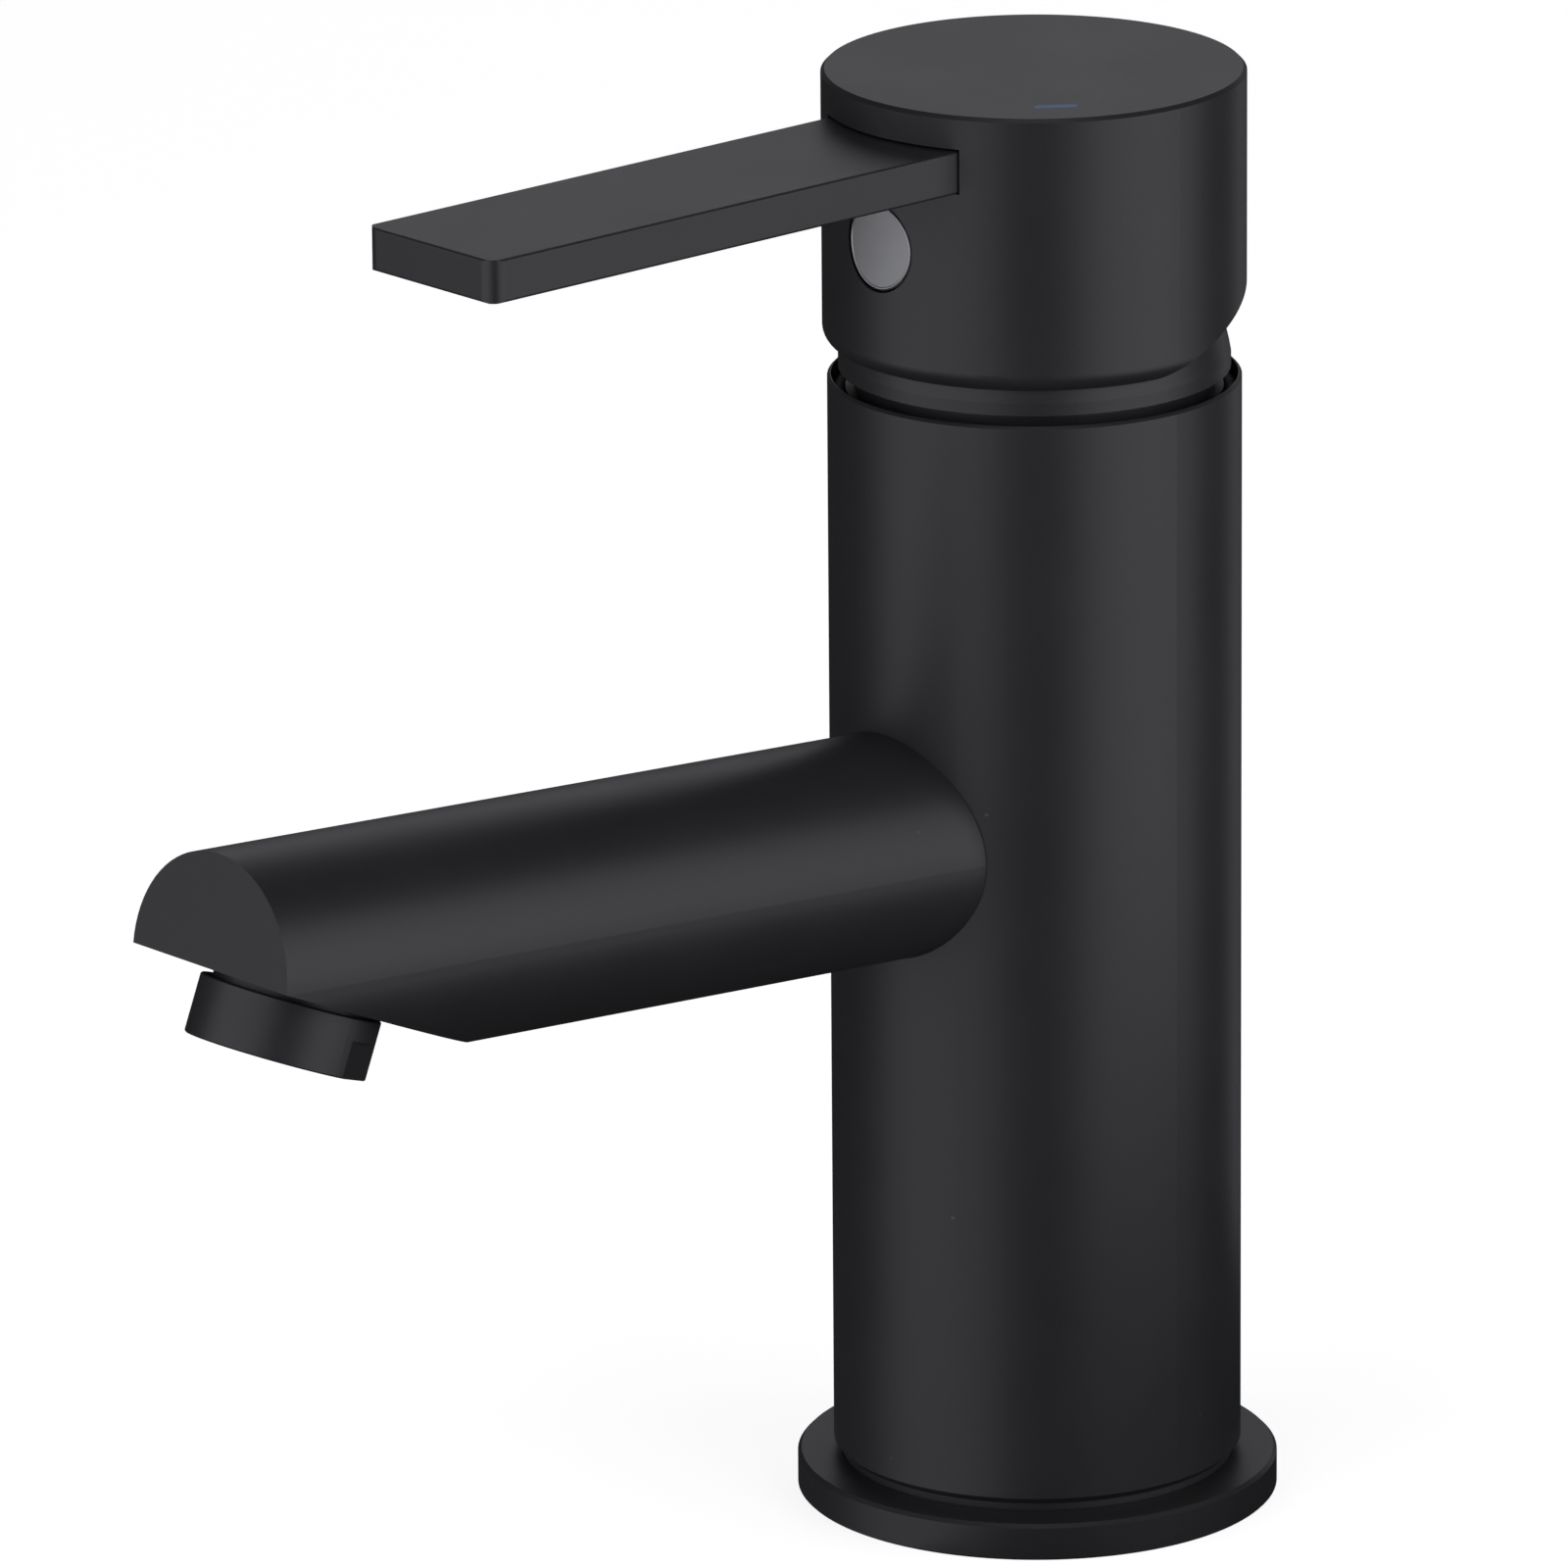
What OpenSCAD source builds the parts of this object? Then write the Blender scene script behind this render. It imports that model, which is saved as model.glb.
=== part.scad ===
// Single-lever basin mixer: upright body, fixed tubular spout, drum handle with a flat bar lever.
// Origin: centre of the base ring's underside, on the body's axis. +Z is up, the spout points to -Y.

/* [Body] */
// Diameter of the upright body
body_d = 45; // [44:0.5:56]
// Height of the body's top rim above the deck
body_h = 127.3; // [120:0.1:180]
// Wall of the hollow lower body
body_wall = 3; // [2:0.5:4]
// Bevel on the body's rims
rim_bevel = 0.3; // [0.1:0.1:0.6]

/* [Base ring] */
// How far the base ring stands out past the body
base_over = 4; // [2:0.5:8]
// Thickness of the base ring
base_h = 4.1; // [3:0.1:8]
// Height of the shadow groove between base ring and body
base_gap = 0.8; // [0.4:0.1:1.5]

/* [Spout] */
// Diameter of the spout tube
spout_d = 25; // [24:0.5:30]
// Diameter of the water way in the spout
spout_bore = 16; // [12:0.5:18]
// Distance from the body's axis to the spout's end face
spout_reach = 117.4; // [90:0.1:160]
// Height of the spout's axis where it meets the body's axis
spout_z = 76.7; // [60:0.1:84]
// Rise of the spout towards its end, in degrees
spout_rise = 4; // [0:0.5:10]
// Slope of the flat mouth under the spout's end, in degrees
mouth_slope = 24; // [18:1:28]
// Backward lean of the spout's end face, in degrees
end_lean = 6.8; // [0:0.1:10]

/* [Aerator] */
// Diameter of the aerator housing
aerator_d = 19.7; // [16:0.1:23.7]
// Visible height of the aerator housing
aerator_h = 6.5; // [5:0.1:9]
// Gap between the mouth and the aerator housing
aerator_gap = 0.5; // [0.5:0.1:1.5]
// Distance along the mouth from the end face to the aerator's centre
aerator_set = 12.3; // [12:0.1:14]
// Slope of the aerator, in degrees
aerator_slope = 22; // [18:0.5:26]

/* [Handle] */
// How far the handle stands out past the body
handle_over = 0.5; // [0:0.1:2]
// Height of the drum handle
handle_h = 30.4; // [30:0.1:38]
// Gap between the body's rim and the handle's lower edge
handle_gap = 3.7; // [3.5:0.1:5]
// Radius of the handle's lower edge
handle_fillet = 2; // [1:0.1:3]
// Angle of the relief under the handle's back, in degrees
relief_angle = 19; // [16:0.5:22]
// Where the relief starts, in front of the body's axis
relief_start = 2.7; // [0:0.1:5]

/* [Lever] */
// Width of the lever bar
lever_w = 20.4; // [16:0.1:24]
// Thickness of the lever bar
lever_t = 4.7; // [4:0.1:6]
// Distance from the body's axis to the lever's tip
lever_reach = 86; // [60:1:120]
// Depth of the lever's top face below the handle's top
lever_drop = 3.9; // [3:0.1:6]
// Rounding of the lever's edges
lever_round = 0.3; // [0.2:0.1:1]
// Radius of the lever's corners seen from above
lever_corner = 1.8; // [1:0.1:4]

/* [Cartridge] */
// Diameter of the cartridge housing
cart_d = 34.8; // [29:0.1:35]
// Width of the square spindle
spindle_w = 8; // [7:0.1:9.6]
// Diameter of the spindle's cross pin
pin_d = 3; // [2.5:0.1:4]
// Diameter of the ball on the spindle's finger
ball_d = 4.6; // [4:0.1:5]

/* [Inlets] */
// Bore of the two threaded inlets, an M10x1 thread's core
inlet_d = 9; // [8:0.1:12]
// Distance between the two inlets
inlet_pitch = 15; // [14:0.5:17]
// Bore of the threaded hole for the fixing stud, an M8 thread's core
stud_d = 6.8; // [5:0.1:8.5]

/* [Motion] */
// Highest lift of the lever, in degrees
lift_max = 20; // [10:1:20]

/* [Hidden] */
$fn = 96;
eps = 0.01;
cut = 1;

// Clearances
run_fit = 0.05;
slide_fit = 0.05;
ball_fit = 0.15;
loose_fit = 0.2;
dome_fit = 0.25;
seat_fit = 0.1;
slot_gap = 0.25;
peg_gap = 0.5;

// Body, derived
body_r = body_d / 2;
body_z0 = base_h + base_gap;
neck_r = body_r - 0.9;
foot_bevel = 0.8;
neck_z0 = 1.6;
cavity_r = body_r - body_wall;

// Base ring, derived
base_r = body_r + base_over;
base_bore_r = cavity_r - 0.5;
base_low_bevel = 0.2;
base_high_bevel = 0.4;
gasket_r1 = body_r - 0.5;
gasket_r2 = body_r + 2;
gasket_h = 1.2;

// Cartridge, derived from the body's rim downwards
recess_h = 3;
recess_r = body_r - 0.4;
nut_h = 7.2;
nut_z1 = body_h - recess_h;
nut_z0 = nut_z1 - nut_h;
housing_r = cart_d / 2;
chamber_r = housing_r + loose_fit;
thread_depth = 1.4;
thread_r = chamber_r + thread_depth;
cart_h = 20.2;
seat_z = nut_z0 - cart_h;
deck_z0 = 62;
seat_skin = 4;
cart_base_h = 6;
clip_h = 1.5;
disc_z = seat_z + cart_base_h + clip_h;
fixed_disc_h = 3;
moving_disc_h = 2.5;
carrier_h = 3;
rail_h = 2;
moving_z = disc_z + fixed_disc_h;
carrier_z = moving_z + moving_disc_h;
rail_z = carrier_z + carrier_h;
rotor_z = rail_z + loose_fit;
housing_wall = 2.9;
housing_in_r = housing_r - housing_wall;
shoulder_h = 2;
rotor_flange_h = nut_z0 - shoulder_h - 0.1 - rotor_z;
rotor_r = housing_in_r - 2.5;
housing_neck_r = rotor_r + 2.2;
housing_neck_z = body_h + 1.6;
disc_r = housing_in_r - 2.7;
rail_w = disc_r * 1.186;
port_r = housing_in_r * 0.207;
port_pcr = housing_in_r * 0.524;
port_angles = [35, 145, 270];
seal_r = housing_in_r * 0.303;
disc_seal_r = seal_r - 0.6;
disc_port_r = port_r - 0.4;
seal_h = 1.6;
mixing_r = disc_r * 0.466;
mixing_h = 1.5;
peg_x = housing_in_r - 1.5;
peg_r = 1.5;
peg_h = 2;
stop_h = 1.8;
stop_teeth = 16;
stop_notch_r = 0.5;

// Dome, and the ball joint that it follows
pivot_z = body_h - 1;
dome_r = body_r - 0.95;
dome_wall = 1.5;
dome_rim_r = body_r - 1.2;
dome_z0 = body_h + 0.9;
dome_z1 = body_h + 13.2;
dome_foot_r = body_r - 2;
dome_foot_h = 1.6;
dome_neck_r = dome_foot_r - 0.9;
collar_r = housing_neck_r + 2.2;
collar_z1 = body_h + 2.2;
nut_slot_w = 4;
nut_slot_h = 2;
oring_r = (recess_r - dome_foot_r) / 2;

// Spindle
finger_l = pivot_z - rail_z;
finger_r = 1.6;
hub_r = 4.4;
ball_gap = 0.3;
slide_max = finger_l * lift_max * PI / 180;
stem_top = pivot_z + 22.2;
stem_gap = 0.4;
rotor_top = pivot_z + 5.2;
slot_x = spindle_w / 2 + 0.1;
slot_front = spindle_w / 2 + 2.6;
slot_back = spindle_w / 2 + 3.2;
pin_set = 1;

// Handle
handle_r = body_r + handle_over;
handle_z0 = body_h + handle_gap;
handle_z1 = handle_z0 + handle_h;
cap_in_r = dome_r + dome_fit;
boss_r = spindle_w / sqrt(2) + 1.35;
boss_z = pivot_z + 12.7;
top_bevel = 0.4;
lever_z1 = handle_z1 - lever_drop;
lever_z0 = lever_z1 - lever_t;
tail_y = 16;
screw_y = spindle_w / 2 + 7.5;
screw_head_r = 3.5;
screw_head_h = 3;
screw_head_z = lever_z0 - 3.2;
screw_r = 1.8;
screw_hex_r = 1.4;
screw_depth = 3;
button_z = handle_z0 + 14.5;
button_r = 4.75;
button_ring = 0.3;
button_h = 2.4;
button_set = 0.15;
grub_r = 2.5;
grub_l = 9;
grub_hex_h = 3;
index_l = 4.7;
index_w = 1.2;
index_r = 17.4;
index_turn = 55;
index_h = 0.8;

// Spout
spout_r = spout_d / 2;
tip_z = spout_z + spout_reach * tan(spout_rise);
mouth_z = tip_z + 0.1;
spigot_r = spout_bore / 2 + 1.5;
spigot_y = 15;
seam = 0.12;
way_r = 5;
oring_z = spigot_y + 1.6;
oring_w = 0.8;
oring_h = 1.4;
tip_wall = 8;

// Aerator
aerator_r = aerator_d / 2;
aerator_neck_r = aerator_r - 1.25;
aerator_neck_h = 6;
aerator_in_r = aerator_neck_r - 1;
aerator_lip = 0.7;
washer_h = 1.6;
insert_h = 8;
insert_wall = 1;
insert_floor = 2;
insert_holes = [[2.3, 0, 0.8], [4.7, 0, 0.9], [4.3, 30, 0.8]];
screen_h = 0.5;
screen_pitch = 2.6;
screen_hole = 1.8;
flat_turn = 27;
flat_depth = 0.65;
flat_h = 4.1;
aerator_bevel = 0.15;

// Inlets and stud
inlet_y = 4;
inlet_thread_l = 14;
inlet_way_r = 3.2;
stud_y = 12;
stud_l = 20;

// ---- Shared shapes ----

// Ring of rectangular section
module ring(r1, r2, h) {
    difference() {
        cylinder(r = r2, h = h);
        translate([0, 0, -cut]) cylinder(r = r1, h = h + 2 * cut);
    }
}

// Solid of revolution whose two rims are bevelled
module bevelled_drum(r, h, low, high) {
    rotate_extrude()
        polygon([[0, 0], [r - low, 0], [r, low], [r, h - high], [r - high, h], [0, h]]);
}

// Places its children at the three ports of the cartridge
module at_ports() {
    for (a = port_angles)
        rotate([0, 0, a]) translate([port_pcr, 0, 0]) children();
}

// Places its children at the two inlets
module at_inlets() {
    for (side = [-1, 1])
        translate([side * inlet_pitch / 2, inlet_y, 0]) children();
}

// Turns +Z along the spout, from the body's axis towards the spout's end
module along_spout() {
    translate([0, 0, spout_z]) rotate([90 - spout_rise, 0, 0]) children();
}

// Stands on the mouth at the aerator's centre: +Z points up into the spout
module at_aerator() {
    translate([0, -spout_reach, mouth_z])
        rotate([-mouth_slope, 0, 0]) translate([0, aerator_set, 0])
            rotate([mouth_slope - aerator_slope, 0, 0]) children();
}

// Rectangle with round corners, centred
module round_rect(w, h, r) {
    square([w - 2 * r, h], center = true);
    square([w, h - 2 * r], center = true);
    for (x = [-1, 1], y = [-1, 1])
        translate([x * (w / 2 - r), y * (h / 2 - r)]) circle(r = r, $fn = 32);
}

// ---- Fixed pieces ----

// Cartridge chamber, nut thread and dome recess
module cartridge_room() {
    translate([0, 0, seat_z]) cylinder(r = chamber_r, h = body_h);
    translate([0, 0, nut_z0]) cylinder(r = thread_r, h = body_h);
    translate([0, 0, nut_z1]) cylinder(r = recess_r, h = body_h);
    for (x = [-1, 1])
        translate([x * peg_x, 0, seat_z - peg_h - peg_gap]) cylinder(r = peg_r + seat_fit, h = peg_h + cut);
}

// Ways from the two inlets up to the cartridge's seat
module supply_ways() {
    at_inlets() {
        translate([0, 0, deck_z0 - cut]) cylinder(d = inlet_d, h = inlet_thread_l + cut);
        translate([0, 0, deck_z0]) cylinder(r = inlet_way_r, h = seat_z - seat_skin - deck_z0);
    }
    for (a = [port_angles[0], port_angles[1]])
        rotate([0, 0, a]) translate([port_pcr, 0, seat_z - seat_skin - 1])
            cylinder(r = port_r, h = seat_skin + 1 + cut);
}

// Way of the mixed water from the seat into the spout, and the seat of the spout's spigot
module mixed_way() {
    rotate([0, 0, port_angles[2]]) translate([port_pcr, 0, spout_z])
        cylinder(r = port_r, h = seat_z - spout_z + cut);
    along_spout() translate([0, 0, port_pcr - port_r]) cylinder(r = way_r, h = body_r);
    along_spout() translate([0, 0, spigot_y]) cylinder(r = spigot_r, h = body_r);
}

module body() color("#2b2b2d") {
    difference() {
        union() {
            translate([0, 0, body_z0])
                bevelled_drum(body_r, body_h - body_z0, foot_bevel, rim_bevel);
            translate([0, 0, neck_z0]) cylinder(r = neck_r, h = body_z0 + cut);
        }
        translate([0, 0, -cut]) cylinder(r = cavity_r, h = deck_z0 + cut);
        cartridge_room();
        supply_ways();
        mixed_way();
        translate([0, stud_y, deck_z0 - cut]) cylinder(d = stud_d, h = stud_l + cut);
    }
}

module base_ring() color("#2b2b2d") {
    difference() {
        bevelled_drum(base_r, base_h, base_low_bevel, base_high_bevel);
        translate([0, 0, -cut]) cylinder(r = base_bore_r, h = base_h + 2 * cut);
        translate([0, 0, neck_z0]) cylinder(r = neck_r + seat_fit, h = base_h);
        translate([0, 0, -cut]) ring(gasket_r1, gasket_r2, gasket_h + cut);
    }
}

module base_gasket() color("#1a1a1a") ring(gasket_r1, gasket_r2, gasket_h);

module spout() color("#2b2b2d") {
    difference() {
        union() {
            difference() {
                along_spout() cylinder(r = spout_r, h = spout_reach * 1.2);
                // Saddle that follows the body
                translate([0, 0, spout_z - 40]) cylinder(r = body_r + seam, h = 80);
                // End face
                translate([0, -spout_reach, tip_z]) rotate([-end_lean, 0, 0])
                    translate([-50, -100, -100]) cube([100, 100, 300]);
                // Sloping mouth
                translate([0, -spout_reach, mouth_z]) rotate([-mouth_slope, 0, 0])
                    translate([-50, -50, -100]) cube([100, 50 + spout_reach / 2, 100]);
            }
            along_spout() translate([0, 0, spigot_y]) cylinder(r = spigot_r, h = body_r - spigot_y + 2);
        }
        along_spout() translate([0, 0, spigot_y - cut])
            cylinder(d = spout_bore, h = spout_reach - tip_wall - spigot_y);
        at_aerator() translate([0, 0, -cut])
            cylinder(r = aerator_neck_r, h = aerator_neck_h + washer_h + cut);
        along_spout() translate([0, 0, oring_z]) ring(spigot_r - oring_w, spigot_r + cut, oring_h);
    }
}

module spout_oring() color("#1a1a1a")
    along_spout() translate([0, 0, oring_z]) ring(spigot_r - oring_w, spigot_r, oring_h);

module aerator_housing() color("#262628") {
    at_aerator() difference() {
        union() {
            translate([0, 0, -aerator_gap - aerator_h])
                bevelled_drum(aerator_r, aerator_h, aerator_bevel, aerator_bevel);
            translate([0, 0, -aerator_gap - cut])
                cylinder(r = aerator_neck_r, h = cut + aerator_gap + aerator_neck_h);
        }
        translate([0, 0, -aerator_gap - aerator_h + aerator_lip])
            cylinder(r = aerator_in_r, h = aerator_h + aerator_neck_h + 2);
        translate([0, 0, -aerator_gap - aerator_h - cut])
            cylinder(r = aerator_in_r - aerator_lip, h = aerator_h);
        // Wrench flats on the lower half
        for (side = [0, 180])
            rotate([0, 0, side + flat_turn])
                translate([aerator_r - flat_depth, -aerator_r, -aerator_gap - aerator_h - cut])
                    cube([aerator_r, aerator_d, flat_h + cut]);
    }
}

module aerator_insert() color("#8a8f94") {
    insert_z = -aerator_gap - aerator_h + aerator_lip;
    at_aerator() translate([0, 0, insert_z]) difference() {
        cylinder(r = aerator_in_r, h = insert_h);
        translate([0, 0, insert_floor]) cylinder(r = aerator_in_r - insert_wall, h = insert_h);
        for (turn = [0 : 5], hole = insert_holes)
            rotate([0, 0, turn * 60 + hole[1]])
                translate([hole[0], 0, -cut]) cylinder(r = hole[2], h = insert_floor + 2 * cut);
    }
}

module aerator_screen() color("#b9bcc0") {
    screen_z = -aerator_gap - aerator_h + aerator_lip + insert_h;
    at_aerator() translate([0, 0, screen_z]) difference() {
        cylinder(r = aerator_in_r, h = screen_h);
        for (x = [-2 : 2], y = [-2 : 2])
            if (abs(x) + abs(y) < 4)
                translate([x * screen_pitch - screen_hole / 2, y * screen_pitch - screen_hole / 2, -cut])
                    cube([screen_hole, screen_hole, screen_h + 2 * cut]);
    }
}

module aerator_washer() color("#1a1a1a")
    at_aerator() translate([0, 0, aerator_neck_h]) ring(aerator_in_r - aerator_lip, aerator_neck_r, washer_h);

module cartridge_base() color("#d9d9d4") {
    difference() {
        union() {
            translate([0, 0, seat_z]) cylinder(r = housing_r, h = cart_base_h);
            translate([0, 0, seat_z + cart_base_h - eps]) cylinder(r = housing_in_r, h = clip_h + eps);
            for (x = [-1, 1])
                translate([x * peg_x, 0, seat_z - peg_h]) cylinder(r = peg_r, h = peg_h + eps);
        }
        at_ports() translate([0, 0, seat_z - cut]) {
            cylinder(r = port_r, h = 20);
            cylinder(r = seal_r, h = seal_h + cut);
        }
        at_ports() translate([0, 0, disc_z - seal_h]) cylinder(r = disc_seal_r, h = seal_h + cut);
    }
}

module base_seals() color("#2a2a2a")
    at_ports() translate([0, 0, seat_z]) ring(port_r, seal_r, seal_h);

module disc_seals() color("#2a2a2a")
    at_ports() translate([0, 0, disc_z - seal_h]) ring(port_r, disc_seal_r, seal_h);

module fixed_disc() color("#e9e6df") {
    difference() {
        translate([0, 0, disc_z]) cylinder(r = housing_in_r - seat_fit, h = fixed_disc_h);
        at_ports() translate([0, 0, disc_z - cut]) cylinder(r = disc_port_r, h = fixed_disc_h + 2 * cut);
    }
}

module cartridge_housing() color("#d9d9d4") {
    difference() {
        union() {
            translate([0, 0, seat_z + cart_base_h])
                cylinder(r = housing_r, h = nut_z0 - seat_z - cart_base_h);
            translate([0, 0, nut_z0 - eps]) cylinder(r = housing_neck_r, h = housing_neck_z - nut_z0 + eps);
        }
        translate([0, 0, seat_z]) cylinder(r = housing_in_r, h = nut_z0 - shoulder_h - seat_z);
        translate([0, 0, seat_z]) cylinder(r = rotor_r + run_fit, h = body_h);
    }
}

module temperature_stop() color("#b23a35") {
    translate([0, 0, housing_neck_z]) difference() {
        ring(rotor_r + loose_fit, housing_neck_r, stop_h);
        for (turn = [1 : stop_teeth])
            rotate([0, 0, turn * 360 / stop_teeth]) translate([housing_neck_r, 0, -cut])
                cylinder(r = stop_notch_r, h = stop_h + 2 * cut);
    }
}

module retaining_nut() color("#c9a44c") {
    difference() {
        union() {
            translate([0, 0, nut_z0]) cylinder(r = thread_r, h = nut_h);
            translate([0, 0, nut_z1 - eps]) cylinder(r = collar_r, h = collar_z1 - nut_z1 + eps);
        }
        translate([0, 0, nut_z0 - cut]) cylinder(r = housing_neck_r + loose_fit, h = collar_z1 + cut);
        // Slots for the fitter's socket
        for (turn = [0 : 3])
            rotate([0, 0, turn * 90])
                translate([housing_neck_r - cut, -nut_slot_w / 2, collar_z1 - nut_slot_h])
                    cube([collar_r, nut_slot_w, nut_slot_h + cut]);
    }
}

module dome_ring() color("#2b2b2d") {
    difference() {
        union() {
            intersection() {
                translate([0, 0, pivot_z]) sphere(r = dome_r);
                translate([0, 0, dome_z0]) cylinder(r = dome_rim_r, h = dome_z1 - dome_z0);
            }
            translate([0, 0, nut_z1]) cylinder(r = dome_neck_r, h = dome_z0 - nut_z1 + eps);
            translate([0, 0, nut_z1]) cylinder(r = dome_foot_r, h = dome_foot_h);
        }
        intersection() {
            translate([0, 0, pivot_z]) sphere(r = dome_r - dome_wall);
            translate([0, 0, collar_z1]) cylinder(r = body_r, h = 30);
        }
        translate([0, 0, nut_z1 - cut]) cylinder(r = collar_r, h = 20);
    }
}

module dome_oring() color("#161616")
    translate([0, 0, nut_z1 + oring_r]) rotate_extrude()
        translate([recess_r - oring_r, 0]) circle(r = oring_r, $fn = 32);

// ---- Turning pieces ----

module rotor() color("#3d6fa8") {
    difference() {
        union() {
            translate([0, 0, rotor_z]) cylinder(r = housing_in_r - 0.3, h = rotor_flange_h);
            translate([0, 0, rotor_z]) cylinder(r = rotor_r, h = rotor_top - rotor_z);
        }
        // Guide for the carrier's rail
        translate([-rail_w / 2 - slide_fit, -housing_r, rotor_z - cut])
            cube([rail_w + 2 * slide_fit, cart_d, rail_z + rail_h + slide_fit - rotor_z + cut]);
        // Slot in which the spindle swings
        translate([-slot_x, -slot_front, rotor_z - cut])
            cube([2 * slot_x, slot_front + slot_back, rotor_top - rotor_z + 2 * cut]);
        translate([-rotor_r - cut, 0, pivot_z]) rotate([0, 90, 0])
            cylinder(d = pin_d, h = 2 * rotor_r + 2 * cut);
    }
}

module pivot_pin() color("#b9bcc0")
    translate([pin_set - rotor_r, 0, pivot_z]) rotate([0, 90, 0])
        cylinder(d = pin_d, h = 2 * (rotor_r - pin_set));

// ---- Sliding pieces: drawn with the valve closed, half the travel behind the middle ----

module moving_disc() color("#e9e6df") {
    translate([0, slide_max / 2, moving_z]) difference() {
        cylinder(r = disc_r, h = moving_disc_h);
        translate([0, 0, -cut]) cylinder(r = mixing_r, h = mixing_h + cut);
    }
}

module disc_carrier() color("#e0ddd2") {
    difference() {
        union() {
            translate([0, slide_max / 2, carrier_z]) cylinder(r = disc_r, h = carrier_h);
            intersection() {
                translate([0, slide_max / 2, rail_z - eps]) cylinder(r = disc_r, h = rail_h + eps);
                translate([-rail_w / 2, -housing_r, rail_z - eps]) cube([rail_w, cart_d, rail_h + eps]);
            }
        }
        // Socket for the finger's ball
        translate([0, 0, pivot_z - finger_l - ball_d / 2 - ball_gap])
            cylinder(r = ball_d / 2 + ball_fit, h = 20);
    }
}

// ---- Lifting pieces ----

module spindle() color("#c9a44c") {
    half = spindle_w / 2;
    difference() {
        union() {
            translate([-half, -half, pivot_z]) cube([spindle_w, spindle_w, stem_top - pivot_z]);
            translate([-half, 0, pivot_z]) rotate([0, 90, 0]) cylinder(r = hub_r, h = spindle_w);
            translate([0, 0, pivot_z - finger_l]) cylinder(r = finger_r, h = finger_l);
            translate([0, 0, pivot_z - finger_l]) sphere(d = ball_d);
        }
        translate([-half - cut, 0, pivot_z]) rotate([0, 90, 0])
            cylinder(r = pin_d / 2 + run_fit, h = spindle_w + 2 * cut);
    }
}

// Drum with a rounded lower edge
module handle_drum() {
    translate([0, 0, handle_z0]) rotate_extrude() {
        square([handle_r - handle_fillet, handle_h]);
        translate([0, handle_fillet]) square([handle_r, handle_h - handle_fillet - top_bevel]);
        polygon([[0, handle_h - top_bevel - eps], [handle_r, handle_h - top_bevel - eps],
                 [handle_r, handle_h - top_bevel], [handle_r - top_bevel, handle_h], [0, handle_h]]);
        translate([handle_r - handle_fillet, handle_fillet]) circle(r = handle_fillet);
    }
}

// Wedge under the handle's back that lets it tip back over the body
module relief_wedge() {
    translate([0, -relief_start, handle_z0]) rotate([relief_angle, 0, 0])
        translate([-50, 0, -50]) cube([100, 100, 50]);
}

module handle_cap() color("#2b2b2d") {
    difference() {
        handle_drum();
        relief_wedge();
        // Hollow that clears the dome ring, with the spindle's boss left in it
        difference() {
            translate([0, 0, pivot_z]) sphere(r = cap_in_r);
            translate([0, 0, boss_z]) cylinder(r = boss_r, h = 40);
        }
        translate([-spindle_w / 2 - slide_fit, -spindle_w / 2 - slide_fit, boss_z - cut])
            cube([spindle_w + 2 * slide_fit, spindle_w + 2 * slide_fit, stem_top + stem_gap - boss_z + cut]);
        // Slot for the lever
        translate([-lever_w / 2 - slot_gap, -handle_r - cut, lever_z0])
            cube([lever_w + 2 * slot_gap, handle_r + cut + tail_y + loose_fit, lever_t + slot_gap]);
        translate([0, screw_y, pivot_z]) cylinder(r = screw_head_r + loose_fit, h = screw_head_z - pivot_z);
        translate([0, screw_y, pivot_z]) cylinder(r = screw_r + loose_fit, h = lever_z0 - pivot_z + cut);
        // Seat of the index button and the grub screw's thread
        translate([0, 0, button_z]) rotate([90, 0, 0]) {
            cylinder(r = grub_r, h = handle_r);
            translate([0, 0, handle_r - button_h]) cylinder(r = button_r + button_ring, h = button_h + cut);
        }
        // Pocket for the index mark
        at_index(handle_z1 - index_h) linear_extrude(height = index_h + cut) index_outline();
    }
}

// Places its children at the cold mark, with +X along the mark
module at_index(z) {
    rotate([0, 0, index_turn - 90]) translate([index_r, 0, z]) rotate([0, 0, 90]) children();
}

module index_outline() {
    square([index_l - index_w, index_w], center = true);
    for (x = [-1, 1])
        translate([x * (index_l - index_w) / 2, 0]) circle(d = index_w, $fn = 32);
}

module lever() color("#2b2b2d") {
    length = lever_reach + tail_y;
    mid_y = (tail_y - lever_reach) / 2;
    mid_z = (lever_z0 + lever_z1) / 2;
    difference() {
        intersection() {
            translate([0, tail_y, mid_z]) rotate([90, 0, 0])
                linear_extrude(height = length) round_rect(lever_w, lever_t, lever_round);
            translate([0, mid_y, lever_z0])
                linear_extrude(height = lever_t) round_rect(lever_w, length, lever_corner);
            translate([-lever_w / 2, mid_y, mid_z]) rotate([90, 0, 90])
                linear_extrude(height = lever_w) round_rect(length, lever_t, lever_round);
        }
        translate([0, screw_y, lever_z0 - cut]) cylinder(r = screw_r, h = screw_depth + cut);
    }
}

module lever_screw() color("#b9bcc0") {
    difference() {
        union() {
            translate([0, screw_y, screw_head_z - screw_head_h]) cylinder(r = screw_head_r, h = screw_head_h);
            translate([0, screw_y, screw_head_z - eps])
                cylinder(r = screw_r, h = lever_z0 - screw_head_z + screw_depth - loose_fit);
        }
        translate([0, screw_y, screw_head_z - screw_head_h - cut])
            cylinder(r = screw_hex_r, h = screw_head_h / 2 + cut, $fn = 6);
    }
}

module grub_screw() color("#8f9296") {
    translate([0, 0, button_z]) rotate([90, 0, 0]) difference() {
        translate([0, 0, spindle_w / 2]) cylinder(r = grub_r, h = grub_l);
        translate([0, 0, spindle_w / 2 + grub_l - grub_hex_h])
            cylinder(r = screw_hex_r, h = grub_hex_h + cut, $fn = 6);
    }
}

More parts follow.
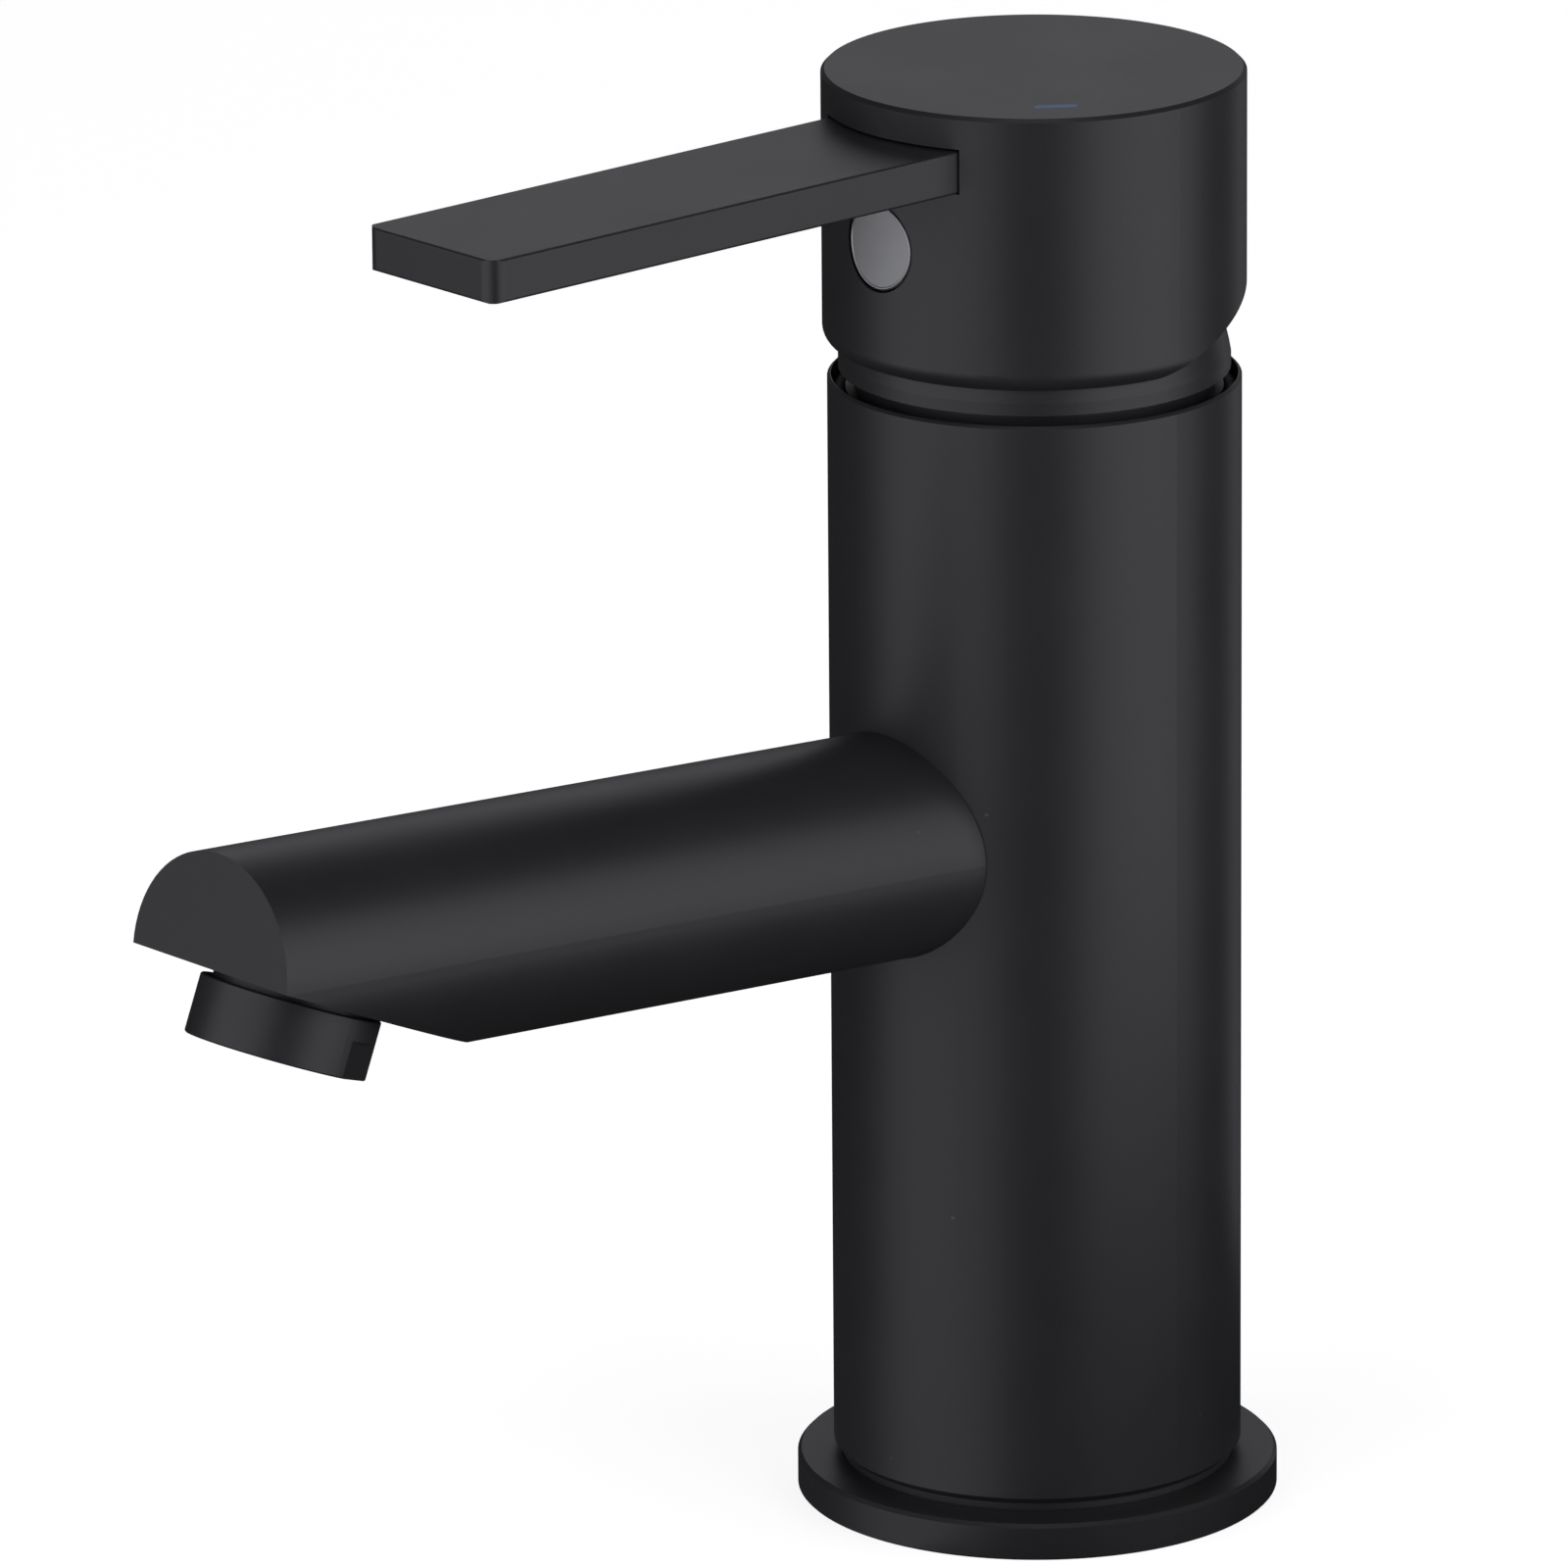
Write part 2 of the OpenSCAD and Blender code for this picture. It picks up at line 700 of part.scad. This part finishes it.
module index_button() color("#a8a8aa") {
    intersection() {
        translate([0, 0, button_z]) rotate([90, 0, 0])
            translate([0, 0, handle_r - button_h]) cylinder(r = button_r, h = button_h);
        translate([0, 0, handle_z0]) cylinder(r = handle_r - button_set, h = handle_h);
    }
}

module cold_index() color("#4f7fa0")
    at_index(handle_z1 - index_h) linear_extrude(height = index_h) index_outline();

body();
base_ring();
base_gasket();
spout();
spout_oring();
aerator_housing();
aerator_insert();
aerator_screen();
aerator_washer();
cartridge_base();
base_seals();
disc_seals();
fixed_disc();
cartridge_housing();
temperature_stop();
retaining_nut();
dome_ring();
dome_oring();
rotor();
pivot_pin();
moving_disc();
disc_carrier();
spindle();
handle_cap();
lever();
lever_screw();
grub_screw();
index_button();
cold_index();
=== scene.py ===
"""Matt black single-lever basin mixer: looks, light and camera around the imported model."""

import math

import bpy
from mathutils import Matrix, Vector


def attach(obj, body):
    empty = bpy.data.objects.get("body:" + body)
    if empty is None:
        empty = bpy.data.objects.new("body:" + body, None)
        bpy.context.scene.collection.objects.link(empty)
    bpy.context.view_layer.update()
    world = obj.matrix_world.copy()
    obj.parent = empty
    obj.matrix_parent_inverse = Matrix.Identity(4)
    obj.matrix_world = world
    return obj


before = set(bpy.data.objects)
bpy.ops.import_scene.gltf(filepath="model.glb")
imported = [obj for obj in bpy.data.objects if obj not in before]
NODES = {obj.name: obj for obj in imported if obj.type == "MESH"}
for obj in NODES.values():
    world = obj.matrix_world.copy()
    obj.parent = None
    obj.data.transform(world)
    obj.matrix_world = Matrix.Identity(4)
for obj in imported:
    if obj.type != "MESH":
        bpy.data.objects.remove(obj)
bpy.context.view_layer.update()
MM = 0.001

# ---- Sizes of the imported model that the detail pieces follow, in millimetres ----

BODY_R = 22.5
SPOUT_R, SPOUT_Z, SPOUT_RISE, SPOUT_REACH = 12.5, 76.7, 4.0, 117.4
TIP_Z = SPOUT_Z + SPOUT_REACH * math.tan(math.radians(SPOUT_RISE)) + 0.1
MOUTH_SLOPE, AERATOR_SLOPE, AERATOR_SET, AERATOR_GAP, AERATOR_H = 24.0, 22.0, 12.3, 0.5, 6.5
AERATOR_MOUTH_R = 6.85
HANDLE_R, BUTTON_R, BUTTON_Z = 23.0, 4.75, 145.5

# The threaded holes open in the web inside the body, this far above the table.
WEB_Z = 62.0
INLET_X, INLET_Y, INLET_CORE_R, INLET_PITCH = 7.5, 4.0, 4.5, 1.0
STUD_Y, STUD_CORE_R, STUD_PITCH = 12.0, 3.4, 1.25

# ---- Camera and light directions ----

CAMERA_AZIMUTH = 48.23
CAMERA_ELEVATION = 17.05
CAMERA_ROLL = -0.435
CAMERA_DISTANCE = 1.6966
CAMERA_LENS = 356.9
CAMERA_SENSOR = 36.0
CAMERA_AIM = Vector((-17.4, -21.3, 81.1)) * MM

LIGHT_AIM = Vector((0, -0.02, 0.09))
LIGHT_COLOUR = (0.975, 0.98, 1.04)
WHITE = (1.0, 1.0, 1.0, 1.0)


def compass(azimuth, elevation):
    """The direction from the mixer to a viewer, in degrees; azimuth 0 is in front of the spout."""
    a, e = math.radians(azimuth), math.radians(elevation)
    return Vector((math.sin(a) * math.cos(e), -math.cos(a) * math.cos(e), math.sin(e)))


def facing_back(away):
    """The turn that makes a camera or lamp look back along the direction given."""
    return away.to_track_quat("Z", "Y").to_matrix().to_4x4()


def make_camera():
    """A long lens that looks at the middle of the mixer from its front right."""
    away = compass(CAMERA_AZIMUTH, CAMERA_ELEVATION)
    data = bpy.data.cameras.new("camera")
    data.lens = CAMERA_LENS
    data.sensor_width = CAMERA_SENSOR
    data.clip_start, data.clip_end = 0.05, 50.0
    camera = bpy.data.objects.new("camera", data)
    bpy.context.scene.collection.objects.link(camera)
    place = Matrix.Translation(CAMERA_AIM + away * CAMERA_DISTANCE)
    roll = Matrix.Rotation(math.radians(CAMERA_ROLL), 4, "Z")
    camera.matrix_world = place @ facing_back(away) @ roll
    bpy.context.scene.camera = camera


# ---- Shader helper ----


class Wire:
    """A shader socket that takes part in sums, so that a material reads as a formula."""

    def __init__(self, tree, socket):
        self.tree = tree
        self.socket = socket

    def maths(self, operation, *values):
        return self.tree.node("ShaderNodeMath", {"operation": operation}, dict(enumerate(values)))

    def __add__(self, other):
        return self.maths("ADD", self, other)

    def __radd__(self, other):
        return self.maths("ADD", other, self)

    def __sub__(self, other):
        return self.maths("SUBTRACT", self, other)

    def __rsub__(self, other):
        return self.maths("SUBTRACT", other, self)

    def __mul__(self, other):
        return self.maths("MULTIPLY", self, other)

    def __rmul__(self, other):
        return self.maths("MULTIPLY", other, self)


def opaque(colour):
    """Adds the fourth channel to a plain colour and leaves a wire as it is."""
    return (*colour, 1.0) if isinstance(colour, tuple) else colour


class Finish:
    """A material and the nodes that make it up."""

    def __init__(self, name):
        self.material = bpy.data.materials.new(name)
        self.material.use_nodes = True
        self.tree = self.material.node_tree
        self.tree.nodes.clear()
        self.output = self.tree.nodes.new("ShaderNodeOutputMaterial")

    def node(self, kind, settings, sockets, out=0):
        """Adds a node of a kind: its settings first, then its sockets' values or links."""
        made = self.tree.nodes.new(kind)
        for key, value in settings.items():
            setattr(made, key, value)
        for place, value in sockets.items():
            if isinstance(value, Wire):
                self.tree.links.new(value.socket, made.inputs[place])
            else:
                made.inputs[place].default_value = value
        return Wire(self, made.outputs[out])

    def place(self, scale=(1.0, 1.0, 1.0)):
        """The part's own coordinates in metres, stretched if asked."""
        spot = self.node("ShaderNodeTexCoord", {}, {}, out="Object")
        return self.node("ShaderNodeVectorMath", {"operation": "MULTIPLY"}, {0: spot, 1: scale})

    def noise(self, grain, detail=3.0, scale=(1.0, 1.0, 1.0)):
        """Noise from 0 to 1 whose lumps are about grain metres across."""
        sockets = {"Vector": self.place(scale), "Scale": 1.0 / grain, "Detail": detail}
        return self.node("ShaderNodeTexNoise", {}, sockets)

    def cells(self, grain):
        """Distance to the nearest of many scattered points, in steps of grain metres."""
        sockets = {"Vector": self.place(), "Scale": 1.0 / grain}
        return self.node("ShaderNodeTexVoronoi", {}, sockets)

    def ramp(self, value, low, high):
        """Rises from 0 to 1 while value goes from low to high."""
        return self.node("ShaderNodeMapRange", {}, {0: value, 1: low, 2: high, 3: 0.0, 4: 1.0})

    def mix(self, amount, first, second):
        """Colour between first and second; sockets 6 and 7 of the node take its two colours."""
        sockets = {0: amount, 6: opaque(first), 7: opaque(second)}
        return self.node("ShaderNodeMix", {"data_type": "RGBA"}, sockets, out=2)

    def bump(self, height, strength, distance):
        """Relief from a height of 0 to 1 that stands for distance metres."""
        sockets = {"Height": height, "Strength": strength, "Distance": distance}
        return self.node("ShaderNodeBump", {}, sockets)

    def done(self, sockets):
        """Finishes the material with one principled surface."""
        shader = self.node("ShaderNodeBsdfPrincipled", {}, sockets)
        self.tree.links.new(shader.socket, self.output.inputs["Surface"])
        return self.material


# ---- Finishes ----


def tint(colour, share):
    """A colour made darker or lighter by a share."""
    return tuple(min(1.0, c * share) for c in colour)


def matt_black(name, colour, roughness):
    """Powder coat: near black, a fine pebbled grain, a faint mottle and a few light specks."""
    f = Finish(name)
    mottle = f.noise(11 * MM)
    pebble = f.noise(0.25 * MM)
    speck = 1.0 - f.ramp(f.cells(9 * MM), 0.012, 0.028)
    coat = f.mix(0.5 * mottle + 0.5 * pebble, tint(colour, 0.74), tint(colour, 1.28))
    return f.done({
        "Base Color": f.mix(0.35 * speck, coat, (0.2, 0.2, 0.2)),
        "Roughness": roughness - 0.05 + 0.06 * mottle + 0.05 * pebble,
        "Normal": f.bump(pebble, 0.4, 0.02 * MM),
        "Specular IOR Level": 0.5,
    })


def moulded(name, colour, roughness, soft=0.0):
    """Moulded plastic or ceramic: a soft cloudiness and a slight orange peel."""
    f = Finish(name)
    cloud = f.noise(4 * MM)
    peel = f.noise(0.6 * MM)
    return f.done({
        "Base Color": f.mix(cloud, tint(colour, 0.88), tint(colour, 1.1)),
        "Roughness": roughness - 0.05 + 0.1 * cloud,
        "Normal": f.bump(peel, 0.15, 0.02 * MM),
        "Subsurface Weight": soft,
    })


def rubber(name):
    """Sealing rubber: dark, dull and dusty in places."""
    f = Finish(name)
    dust = f.ramp(f.noise(1.5 * MM), 0.5, 0.8)
    return f.done({
        "Base Color": f.mix(dust, (0.012, 0.012, 0.012), (0.04, 0.04, 0.038)),
        "Roughness": 0.65 + 0.2 * dust,
        "Normal": f.bump(f.noise(0.2 * MM), 0.3, 0.02 * MM),
    })


def machined(name, colour, roughness, metal=1.0):
    """Turned metal: fine tool marks round the upright axis, slightly stained."""
    f = Finish(name)
    marks = f.noise(0.5 * MM, scale=(0.05, 0.05, 4.0))
    stain = f.noise(6 * MM)
    return f.done({
        "Base Color": f.mix(stain, tint(colour, 0.75), colour),
        "Metallic": metal,
        "Roughness": roughness + 0.12 * marks + 0.08 * stain,
        "Normal": f.bump(marks, 0.3, 0.01 * MM),
    })


def dress(material, *names):
    """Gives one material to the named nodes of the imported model."""
    for name in names:
        mesh = NODES[name].data
        mesh.materials.clear()
        mesh.materials.append(material)


# ---- Detail pieces ----


def add_piece(name, corners, faces, finish, body):
    """Makes a mesh piece from corners in millimetres and lets it ride a body."""
    material, slot = finish
    mesh = bpy.data.meshes.new(name)
    mesh.from_pydata([Vector(corner) * MM for corner in corners], [], faces)
    mesh.validate()
    for face in mesh.polygons:
        face.use_smooth = True
    mesh.materials.append(material)
    piece = bpy.data.objects.new(name, mesh)
    bpy.context.scene.collection.objects.link(piece)
    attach(piece, body)
    return piece


def sweep(path, profile, closed):
    """Sweeps a profile along a path of frames (centre, across, up), with ends unless closed."""
    corners, faces = [], []
    for centre, across, up in path:
        corners += [centre + across * u + up * v for u, v in profile]
    n, rows = len(profile), len(path)
    for row in range(rows if closed else rows - 1):
        here, there = row * n, (row + 1) % rows * n
        for k in range(n):
            after = (k + 1) % n
            faces.append((here + k, here + after, there + after, there + k))
    if not closed:
        faces += [tuple(range(n)), tuple(reversed(range((rows - 1) * n, rows * n)))]
    return corners, faces


def turns(count):
    """Equal angles round a full turn."""
    return [2 * math.pi * i / count for i in range(count)]


def circle_profile(radius, count):
    """A round section of a few corners."""
    return [(radius * math.cos(a), radius * math.sin(a)) for a in turns(count)]


def helix_thread(name, centre, radius, pitch, length, finish):
    """The ridge of an internal thread that winds up a hole, rooted a little in its wall."""
    steps = 36
    depth, root, foot, crest = 0.55 * pitch, 0.02, 0.42 * pitch, 0.08 * pitch
    profile = [(root, -foot), (root, foot), (-depth, crest), (-depth, -crest)]
    up = Vector((0, 0, 1))
    path = []
    for i in range(int(length / pitch * steps) + 1):
        a = 2 * math.pi * i / steps
        out = Vector((math.cos(a), math.sin(a), 0))
        path.append((Vector(centre) + out * radius + up * (pitch * i / steps), out, up))
    return add_piece(name, *sweep(path, profile, False), finish, "root")


def joint_bead(finish):
    """A hair-thin bead of sealant where the spout meets the body."""
    bead_r, sunk, forward = 0.09, 0.05, 0.06
    rise = math.radians(SPOUT_RISE)
    side, up = Vector((1, 0, 0)), Vector((0, math.sin(rise), math.cos(rise)))
    along = Vector((0, -math.cos(rise), math.sin(rise)))
    path = []
    for a in turns(120):
        out = side * math.cos(a) + up * math.sin(a)
        foot = Vector((0, 0, SPOUT_Z)) + out * (SPOUT_R - sunk)
        reach = (math.sqrt(BODY_R ** 2 - foot.x ** 2) + foot.y) / -along.y
        path.append((foot + along * (reach + forward), out, along))
    corners, faces = sweep(path, circle_profile(bead_r, 6), True)
    return add_piece("spout_joint_bead", corners, faces, finish, "root")


def button_rim(finish):
    """The bright turned edge of the index button, which follows the drum just under its skin."""
    sunk = 0.14
    path = []
    for a in turns(96):
        x, z = BUTTON_R * math.cos(a), BUTTON_R * math.sin(a)
        out = Vector((math.cos(a), 0, math.sin(a)))
        front = -math.sqrt((HANDLE_R - sunk) ** 2 - x * x)
        path.append((Vector((x, front, BUTTON_Z + z)), out, Vector((0, -1, 0))))
    profile = [(-0.3, -0.2), (-0.32, 0.02), (-0.16, 0.1), (-0.02, 0.02), (-0.02, -0.2)]
    corners, faces = sweep(path, profile, True)
    return add_piece("button_rim", corners, faces, finish, "lever_body")


def aerator_frame():
    """The aerator's centre and its own axes: across, down its slope, and up into the spout."""
    mouth, tilt = math.radians(MOUTH_SLOPE), math.radians(AERATOR_SLOPE)
    centre = Vector((0, -SPOUT_REACH, TIP_Z))
    centre += Vector((0, math.cos(mouth), -math.sin(mouth))) * AERATOR_SET
    down = Vector((0, math.cos(tilt), -math.sin(tilt)))
    up = Vector((0, math.sin(tilt), math.cos(tilt)))
    return centre, Vector((1, 0, 0)), down, up


def aerator_mesh(finish):
    """Wires that cross over and under each other in the aerator's outlet."""
    wire_r, spacing, wave_h, inset, steps = 0.11, 0.95, 0.09, 0.45, 24
    height = -AERATOR_GAP - AERATOR_H + inset
    centre, side, down, up = aerator_frame()
    corners, faces = [], []
    count = int(AERATOR_MOUTH_R / spacing)
    for row in range(-count, count + 1):
        half = math.sqrt(AERATOR_MOUTH_R ** 2 - (row * spacing) ** 2)
        for along, across in ((side, down), (down, side)):
            over = 1 if (row % 2 == 0) == (along is side) else -1
            path = []
            for i in range(steps + 1):
                t = half * (2 * i / steps - 1)
                wave = over * wave_h * math.cos(math.pi * t / spacing)
                spot = along * t + across * (row * spacing) + up * (height + wave)
                path.append((centre + spot, across, up))
            more, rings = sweep(path, circle_profile(wire_r, 6), False)
            faces += [tuple(len(corners) + k for k in ring) for ring in rings]
            corners += more
    return add_piece("aerator_wires", corners, faces, finish, "root")


# ---- Stage and light ----


def make_floor():
    """A pale floor, bright enough by itself to read as white paper."""
    half = 4.0
    mesh = bpy.data.meshes.new("floor")
    corners = [(-half, -half, 0), (half, -half, 0), (half, half, 0), (-half, half, 0)]
    mesh.from_pydata(corners, [], [(0, 1, 2, 3)])
    floor = bpy.data.objects.new("floor", mesh)
    bpy.context.scene.collection.objects.link(floor)
    f = Finish("floor")
    paper = f.noise(400 * MM)
    mesh.materials.append(f.done({
        "Base Color": f.mix(paper, (0.8, 0.8, 0.8), (0.82, 0.82, 0.82)),
        "Roughness": 0.9,
        "Emission Color": WHITE,
        "Emission Strength": 0.8,
    }))
    floor.visible_diffuse = False
    floor.visible_glossy = False
    floor.visible_shadow = False


def make_reflection_shade_disc(x, y, radius):
    """A black disc just under the floor, hidden from the camera: painted shade that darkens what
    the foot of the mixer mirrors.
    """
    level, sides = -2 * MM, 64
    mesh = bpy.data.meshes.new("reflection_shade_disc")
    rim = [(x + radius * math.cos(a), y + radius * math.sin(a), level) for a in turns(sides)]
    mesh.from_pydata(rim, [], [tuple(range(sides))])
    shade_sheet = bpy.data.objects.new("reflection_shade_disc", mesh)
    bpy.context.scene.collection.objects.link(shade_sheet)
    # Its near-black colour is painted shade, which only the mixer's reflections near its foot see.
    f = Finish("reflection_shade_black")
    mesh.materials.append(f.done({
        "Base Color": f.mix(f.noise(3 * MM), (0.004, 0.004, 0.004), (0.008, 0.008, 0.008)),
        "Roughness": 0.95,
    }))
    shade_sheet.visible_camera = False


def softbox(name, azimuth, elevation, distance, width, height, radiance):
    """A soft rectangular light that faces the mixer from a compass direction."""
    away = compass(azimuth, elevation)
    data = bpy.data.lights.new(name, "AREA")
    data.shape = "RECTANGLE"
    data.size, data.size_y = width, height
    data.energy = radiance * math.pi * width * height
    data.color = LIGHT_COLOUR
    light = bpy.data.objects.new(name, data)
    bpy.context.scene.collection.objects.link(light)
    light.matrix_world = Matrix.Translation(LIGHT_AIM + away * distance) @ facing_back(away)
    light.visible_camera = False


def make_world(seen, cast):
    """White where the camera looks straight at it, dim where it lights the mixer."""
    world = bpy.data.worlds.new("studio")
    bpy.context.scene.world = world
    world.use_nodes = True
    tree = world.node_tree
    tree.nodes.clear()
    path = tree.nodes.new("ShaderNodeLightPath")
    # Input 0 of the mix node is its factor, and inputs 2 and 3 are its two numbers.
    strength = tree.nodes.new("ShaderNodeMix")
    tree.links.new(path.outputs["Is Camera Ray"], strength.inputs[0])
    strength.inputs[2].default_value = cast
    strength.inputs[3].default_value = seen
    background = tree.nodes.new("ShaderNodeBackground")
    tree.links.new(strength.outputs[0], background.inputs["Strength"])
    background.inputs["Color"].default_value = WHITE
    out = tree.nodes.new("ShaderNodeOutputWorld")
    tree.links.new(background.outputs[0], out.inputs["Surface"])


make_camera()
make_floor()
make_reflection_shade_disc(x=0.085, y=0.045, radius=0.11)
make_world(seen=1.0, cast=0.018)

# Each box: azimuth and elevation in degrees, distance, width and height in metres, radiance.
softbox("left_box", -8, 6, 1.0, 1.55, 1.2, 1.16)
softbox("right_box", 107, 6, 1.0, 1.4, 1.2, 1.34)
softbox("edge_box", 193, -3, 1.2, 0.25, 0.9, 0.5)
softbox("back_box", 226, 25, 1.4, 1.2, 0.7, 0.6)
softbox("top_box", 48, 84, 1.2, 0.6, 0.6, 0.95)
bpy.context.scene.view_settings.view_transform = "Standard"

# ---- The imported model's finishes ----

# Each finish: its name, its linear colour and its roughness. A machined finish may say how
# metallic it is, and a moulded one how much light scatters inside it.
COAT = (0.026, 0.026, 0.0275)
coat = matt_black("matt_black", COAT, 0.42)
seal_rubber = rubber("seal_rubber")
brass = machined("brass", (0.75, 0.52, 0.22), 0.22)
steel = machined("steel", (0.6, 0.6, 0.61), 0.22)
ceramic = moulded("ceramic", (0.8, 0.78, 0.72), 0.15)
cartridge_plastic = moulded("cartridge_plastic", (0.72, 0.71, 0.66), 0.4, 0.05)

dress(coat, "body", "base_ring", "spout", "handle_cap", "lever", "dome_ring")
dress(matt_black("matt_black_fine", tint(COAT, 0.85), 0.45), "aerator_housing")
dress(seal_rubber, "base_gasket", "spout_oring", "aerator_washer")
dress(seal_rubber, "base_seals", "disc_seals", "dome_oring")
dress(cartridge_plastic, "cartridge_base", "cartridge_housing", "disc_carrier")
dress(ceramic, "fixed_disc", "moving_disc")
dress(moulded("rotor_plastic", (0.06, 0.17, 0.38), 0.4), "rotor")
dress(moulded("stop_plastic", (0.42, 0.05, 0.04), 0.4), "temperature_stop")
dress(brass, "retaining_nut", "spindle")
dress(steel, "pivot_pin", "lever_screw", "grub_screw", "aerator_screen")
dress(moulded("grey_plastic", (0.3, 0.31, 0.33), 0.4), "aerator_insert")
dress(machined("button_satin", (0.46, 0.46, 0.465), 0.42, 0.5), "index_button")
dress(moulded("cold_blue", (0.02, 0.13, 0.42), 0.4), "cold_index")

# ---- The detail pieces, each with its material ----

threads = brass, "brass"
inlet_z, stud_z = WEB_Z + 0.6, WEB_Z + 0.7
inlet_length, stud_length = 12, 18
inlet_thread = INLET_CORE_R, INLET_PITCH, inlet_length, threads
helix_thread("cold_thread", (INLET_X, INLET_Y, inlet_z), *inlet_thread)
helix_thread("hot_thread", (-INLET_X, INLET_Y, inlet_z), *inlet_thread)
helix_thread("stud_thread", (0, STUD_Y, stud_z), STUD_CORE_R, STUD_PITCH, stud_length, threads)
joint_bead((seal_rubber, "seal_rubber"))
button_rim((machined("button_edge", (0.45, 0.45, 0.455), 0.25), "button_satin"))
aerator_mesh((steel, "steel"))
